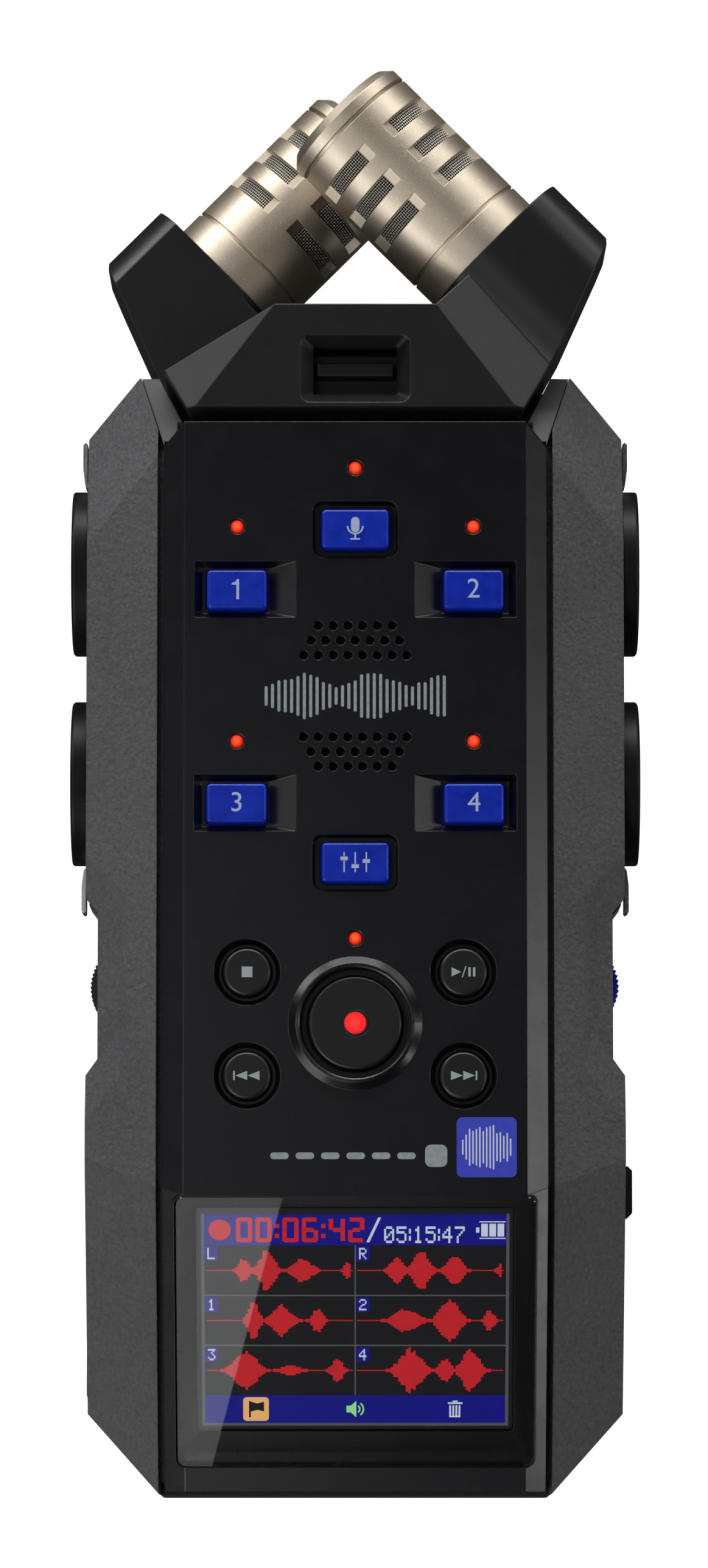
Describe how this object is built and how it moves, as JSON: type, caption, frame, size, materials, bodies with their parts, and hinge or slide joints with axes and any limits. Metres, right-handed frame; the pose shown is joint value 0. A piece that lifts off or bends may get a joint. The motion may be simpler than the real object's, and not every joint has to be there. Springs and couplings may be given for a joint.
{
  "type": "portable field recorder",
  "caption": "Handheld audio recorder with crossed microphones on a slide-off capsule, tilted colour screen, keys, dials and side inputs.",
  "frame": {"origin": "middle of the bounding box on the plane of the flat back", "axes": "+X to the right of the front panel, +Y towards the microphones, +Z out of the front panel"},
  "size_m": [0.0778, 0.1963, 0.0479],
  "materials": {
    "panel": "satin black",
    "shell": "crinkle grained soft grip",
    "case": "fine textured black",
    "steel": "plain",
    "lens": "clear polished",
    "display": "lit colour panel",
    "board": "green solder mask",
    "rubber": "silicone mat",
    "light": "clear light pipe, lit red",
    "inner": "black moulding",
    "blue_key": "translucent blue",
    "dark_key": "satin black",
    "blue_dial": "translucent blue",
    "card": "plain",
    "door": "soft flap",
    "cell": "printed sleeve",
    "nickel": "satin nickel plate",
    "brass": "turned",
    "screw": "black zinc",
    "capsule": "satin black",
    "champagne": "bead blasted, champagne anodised",
    "mesh": "woven",
    "element": "plated",
    "jack": "satin black"
  },
  "bodies": {
    "body": {"front_panel": "panel", "left_side_shell": "shell", "right_side_shell": "shell", "rear_case": "case", "dock_frame": "case", "cover_hinge_pins": "steel", "display_lens": "lens", "display_module": "display", "main_board": "board", "keypad_mat": "rubber", "led_light_pipes": "light", "speaker": "inner", "input_1_jack": "jack", "input_2_jack": "jack", "input_3_jack": "jack", "input_4_jack": "jack", "jack_contact_inserts": "inner", "dial_encoders": "steel", "mini_jacks": "inner", "usb_port": "steel", "card_slot": "steel", "memory_card": "card", "battery_cells": "cell", "battery_contacts": "nickel", "tripod_bush": "brass", "case_screws": "screw", "dock_socket": "inner"},
    "capsule": {"capsule_front": "capsule", "capsule_rear": "capsule", "latch_spring": "steel", "capsule_plug": "inner", "right_microphone_body": "champagne", "right_microphone_cap": "champagne", "left_microphone_body": "champagne", "left_microphone_cap": "champagne", "microphone_screens": "mesh", "microphone_elements": "element"},
    "latch": {"capsule_latch": "capsule"},
    "battery_door": {"battery_cover": "case"},
    "card_flap": {"card_door": "door"},
    "volume": {"volume_dial": "dark_key"},
    "select": {"select_dial": "blue_dial"},
    "enter": {"enter_button": "dark_key"},
    "power": {"power_switch": "dark_key"},
    "key_microphone_cap": {"key_microphone": "blue_key"},
    "key_mixer_cap": {"key_mixer": "blue_key"},
    "key_track_1_cap": {"key_track_1": "blue_key"},
    "key_track_2_cap": {"key_track_2": "blue_key"},
    "key_track_3_cap": {"key_track_3": "blue_key"},
    "key_track_4_cap": {"key_track_4": "blue_key"},
    "key_stop_cap": {"key_stop": "dark_key"},
    "key_play_cap": {"key_play": "dark_key"},
    "key_rewind_cap": {"key_rewind": "dark_key"},
    "key_forward_cap": {"key_forward": "dark_key"},
    "key_record_cap": {"key_record": "dark_key"},
    "input_1_lever": {"input_1_release": "nickel"},
    "input_2_lever": {"input_2_release": "nickel"},
    "input_3_lever": {"input_3_release": "nickel"},
    "input_4_lever": {"input_4_release": "nickel"}
  },
  "joints": [
    {"name": "capsule_slide", "type": "slide", "parent": "body", "child": "capsule", "axis": [0, 1, 0], "range_m": [0, 0.012]},
    {"name": "latch_press", "type": "hinge", "parent": "capsule", "child": "latch", "pos_m": [0, 0.0514, 0.0392], "axis": [1, 0, 0], "range_deg": [-8, 0], "stiffness_Nm_per_rad": 0.02, "deforming": ["latch_spring"]},
    {"name": "volume_turn", "type": "hinge", "parent": "body", "child": "volume", "pos_m": [-0.02975, -0.02805, 0.0225], "axis": [0, 0, 1], "range_deg": [-145, 145]},
    {"name": "select_turn", "type": "hinge", "parent": "body", "child": "select", "pos_m": [0.0303, -0.02805, 0.0254], "axis": [0, 0, 1], "continuous": true},
    {"name": "enter_press", "type": "slide", "parent": "body", "child": "enter", "axis": [-1, 0, 0], "range_m": [0, 0.0006], "stiffness_N_per_m": 500},
    {"name": "power_slide", "type": "slide", "parent": "body", "child": "power", "axis": [0, 1, 0], "range_m": [-0.0018, 0.0018]},
    {"name": "battery_door_swing", "type": "hinge", "parent": "body", "child": "battery_door", "pos_m": [0, 0.0312, 0.00195], "axis": [1, 0, 0], "range_deg": [0, 95]},
    {"name": "card_flap_swing", "type": "hinge", "parent": "body", "child": "card_flap", "pos_m": [-0.03695, -0.0646, 0.018], "axis": [0, 0, -1], "range_deg": [0, 100]},
    {"name": "key_microphone_press", "type": "slide", "parent": "body", "child": "key_microphone_cap", "axis": [0, 0, -1], "range_m": [0, 0.0007], "stiffness_N_per_m": 500},
    {"name": "key_mixer_press", "type": "slide", "parent": "body", "child": "key_mixer_cap", "axis": [0, 0, -1], "range_m": [0, 0.0007], "stiffness_N_per_m": 500},
    {"name": "key_track_1_press", "type": "slide", "parent": "body", "child": "key_track_1_cap", "axis": [0, 0, -1], "range_m": [0, 0.0007], "stiffness_N_per_m": 500},
    {"name": "key_track_2_press", "type": "slide", "parent": "body", "child": "key_track_2_cap", "axis": [0, 0, -1], "range_m": [0, 0.0007], "stiffness_N_per_m": 500},
    {"name": "key_track_3_press", "type": "slide", "parent": "body", "child": "key_track_3_cap", "axis": [0, 0, -1], "range_m": [0, 0.0007], "stiffness_N_per_m": 500},
    {"name": "key_track_4_press", "type": "slide", "parent": "body", "child": "key_track_4_cap", "axis": [0, 0, -1], "range_m": [0, 0.0007], "stiffness_N_per_m": 500},
    {"name": "key_stop_press", "type": "slide", "parent": "body", "child": "key_stop_cap", "axis": [0, 0, -1], "range_m": [0, 0.0007], "stiffness_N_per_m": 500},
    {"name": "key_play_press", "type": "slide", "parent": "body", "child": "key_play_cap", "axis": [0, 0, -1], "range_m": [0, 0.0007], "stiffness_N_per_m": 500},
    {"name": "key_rewind_press", "type": "slide", "parent": "body", "child": "key_rewind_cap", "axis": [0, 0, -1], "range_m": [0, 0.0007], "stiffness_N_per_m": 500},
    {"name": "key_forward_press", "type": "slide", "parent": "body", "child": "key_forward_cap", "axis": [0, 0, -1], "range_m": [0, 0.0007], "stiffness_N_per_m": 500},
    {"name": "key_record_press", "type": "slide", "parent": "body", "child": "key_record_cap", "axis": [0, 0, -1], "range_m": [0, 0.0007], "stiffness_N_per_m": 500},
    {"name": "input_1_lever_press", "type": "hinge", "parent": "body", "child": "input_1_lever", "pos_m": [-0.0344, 0.04108, 0.0272], "axis": [0, 0, -1], "range_deg": [0, 4.5], "stiffness_Nm_per_rad": 0.02},
    {"name": "input_2_lever_press", "type": "hinge", "parent": "body", "child": "input_2_lever", "pos_m": [0.0344, 0.04108, 0.0272], "axis": [0, 0, 1], "range_deg": [0, 4.5], "stiffness_Nm_per_rad": 0.02},
    {"name": "input_3_lever_press", "type": "hinge", "parent": "body", "child": "input_3_lever", "pos_m": [-0.0344, -0.0122, 0.0272], "axis": [0, 0, 1], "range_deg": [0, 4.5], "stiffness_Nm_per_rad": 0.02},
    {"name": "input_4_lever_press", "type": "hinge", "parent": "body", "child": "input_4_lever", "pos_m": [0.0344, -0.0122, 0.0272], "axis": [0, 0, -1], "range_deg": [0, 4.5], "stiffness_Nm_per_rad": 0.02}
  ]
}
